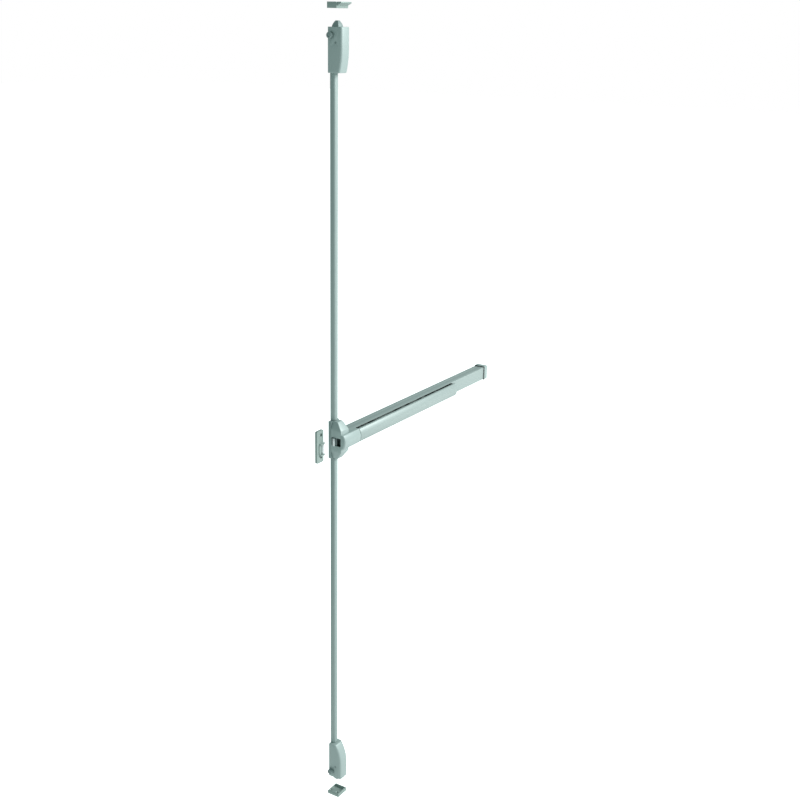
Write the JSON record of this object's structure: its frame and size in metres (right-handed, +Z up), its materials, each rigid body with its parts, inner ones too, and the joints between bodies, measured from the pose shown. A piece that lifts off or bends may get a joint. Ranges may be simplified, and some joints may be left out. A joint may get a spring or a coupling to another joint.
{
  "type": "panic exit bar",
  "caption": "Touch-bar panic exit device with a side latch, covered vertical rods, top and bottom latches and three strikes.",
  "frame": {"origin": "centre of the centre case's back plate, on the face of the door", "axes": "+X along the touch bar towards its end cap, +Y into the door, +Z up along the rods"},
  "size_m": [0.846, 0.0515, 2.119],
  "materials": {
    "silver_lacquer": "satin silver lacquer on an aluminium extrusion",
    "satin_lacquer": "satin silver lacquer on a zinc casting",
    "base_lacquer": "satin grey-silver lacquer",
    "cover_lacquer": "satin silver lacquer on rolled steel",
    "strike_steel": "satin grey-silver lacquer on steel",
    "bright_steel": "bright nickel plate",
    "dark_steel": "dark passivated steel",
    "zinc_steel": "zinc plated steel",
    "spring_steel": "drawn spring wire",
    "grey_plastic": "moulded grey polyamide",
    "black_rubber": "moulded rubber"
  },
  "bodies": {
    "frame": {"chassis_channel": "silver_lacquer", "far_cover": "silver_lacquer", "nose_cover": "satin_lacquer", "end_cap": "satin_lacquer", "end_bracket": "zinc_steel", "draw_bar_guides": "zinc_steel", "push_bar_stops": "black_rubber", "head_cover": "satin_lacquer", "head_back_plate": "base_lacquer", "head_cover_screws": "zinc_steel", "latch_guide": "zinc_steel", "latch_spring": "spring_steel", "latch_spring_stop": "zinc_steel", "return_springs": "spring_steel", "rod_crank_pivot": "zinc_steel", "top_strike": "strike_steel", "bottom_strike": "strike_steel", "side_strike": "strike_steel", "roller_pin": "bright_steel", "near_crank_bracket": "zinc_steel", "far_crank_bracket": "zinc_steel", "near_crank_pivot": "zinc_steel", "far_crank_pivot": "zinc_steel", "top_rod_cover": "cover_lacquer", "top_rod_clips": "grey_plastic", "top_latch_case": "satin_lacquer", "top_latch_plate": "zinc_steel", "top_bolt_guide": "zinc_steel", "top_case_screws": "dark_steel", "bottom_rod_cover": "cover_lacquer", "bottom_rod_clips": "grey_plastic", "bottom_latch_case": "satin_lacquer", "bottom_latch_plate": "zinc_steel", "bottom_bolt_guide": "zinc_steel", "bottom_case_screws": "dark_steel"},
    "push_bar": {"push_bar": "silver_lacquer", "push_bar_end_caps": "grey_plastic", "push_bar_buffers": "black_rubber", "near_push_lugs": "zinc_steel", "far_push_lugs": "zinc_steel"},
    "near_crank": {"near_crank": "zinc_steel", "near_crank_pins": "zinc_steel"},
    "far_crank": {"far_crank": "zinc_steel", "far_crank_pins": "zinc_steel"},
    "draw_bar": {"draw_bar": "zinc_steel"},
    "rod_crank": {"rod_crank": "zinc_steel", "rod_crank_pins": "zinc_steel"},
    "side_latch": {"latch_bolt": "bright_steel"},
    "top_rod": {"top_rod_coupler": "zinc_steel", "top_rod": "zinc_steel", "top_rod_connector": "zinc_steel", "top_bolt": "dark_steel"},
    "bottom_rod": {"bottom_rod_coupler": "zinc_steel", "bottom_rod": "zinc_steel", "bottom_rod_connector": "zinc_steel", "bottom_bolt": "dark_steel"},
    "top_trip_button": {"top_trip_button": "dark_steel"},
    "bottom_trip_button": {"bottom_trip_button": "dark_steel"},
    "strike_roller": {"strike_roller": "bright_steel"}
  },
  "joints": [
    {"name": "push_bar_slide", "type": "slide", "parent": "frame", "child": "push_bar", "axis": [0, 1, 0], "range_m": [0, 0.00702], "stiffness_N_per_m": 1500, "springref_m": -0.02, "deforming": ["return_springs"]},
    {"name": "near_crank_turn", "type": "hinge", "parent": "frame", "child": "near_crank", "pos_m": [0.084, -0.0275, 0], "axis": [0, 0, 1], "range_deg": [-50, 0]},
    {"name": "far_crank_turn", "type": "hinge", "parent": "frame", "child": "far_crank", "pos_m": [0.494, -0.0275, 0], "axis": [0, 0, 1], "range_deg": [-50, 0]},
    {"name": "draw_bar_slide", "type": "slide", "parent": "frame", "child": "draw_bar", "axis": [1, 0, 0], "range_m": [0, 0.01183]},
    {"name": "rod_crank_turn", "type": "hinge", "parent": "frame", "child": "rod_crank", "pos_m": [0, 0, 0], "axis": [0, 1, 0], "range_deg": [0, 70]},
    {"name": "side_latch_slide", "type": "slide", "parent": "frame", "child": "side_latch", "axis": [1, 0, 0], "range_m": [0, 0.01183], "deforming": ["latch_spring"]},
    {"name": "top_rod_slide", "type": "slide", "parent": "frame", "child": "top_rod", "axis": [0, 0, -1], "range_m": [0, 0.01262]},
    {"name": "bottom_rod_slide", "type": "slide", "parent": "frame", "child": "bottom_rod", "axis": [0, 0, 1], "range_m": [0, 0.01262]},
    {"name": "top_trip_button_push", "type": "slide", "parent": "frame", "child": "top_trip_button", "axis": [1, 0, 0], "range_m": [0, 0.005], "stiffness_N_per_m": 300, "springref_m": -0.003},
    {"name": "bottom_trip_button_push", "type": "slide", "parent": "frame", "child": "bottom_trip_button", "axis": [1, 0, 0], "range_m": [0, 0.005], "stiffness_N_per_m": 300, "springref_m": -0.003},
    {"name": "strike_roller_spin", "type": "hinge", "parent": "frame", "child": "strike_roller", "pos_m": [-0.051, -0.0065, 0], "axis": [0, 0, 1], "continuous": true}
  ],
  "couplings": [
    {"joint": "near_crank_turn", "follows": "push_bar_slide", "rad_per_m": -124.38},
    {"joint": "far_crank_turn", "follows": "push_bar_slide", "rad_per_m": -124.38},
    {"joint": "draw_bar_slide", "follows": "push_bar_slide", "ratio": 1.6866},
    {"joint": "rod_crank_turn", "follows": "push_bar_slide", "rad_per_m": 174.13},
    {"joint": "side_latch_slide", "follows": "push_bar_slide", "ratio": 1.6866},
    {"joint": "top_rod_slide", "follows": "push_bar_slide", "ratio": 1.7985},
    {"joint": "bottom_rod_slide", "follows": "push_bar_slide", "ratio": 1.7985}
  ]
}
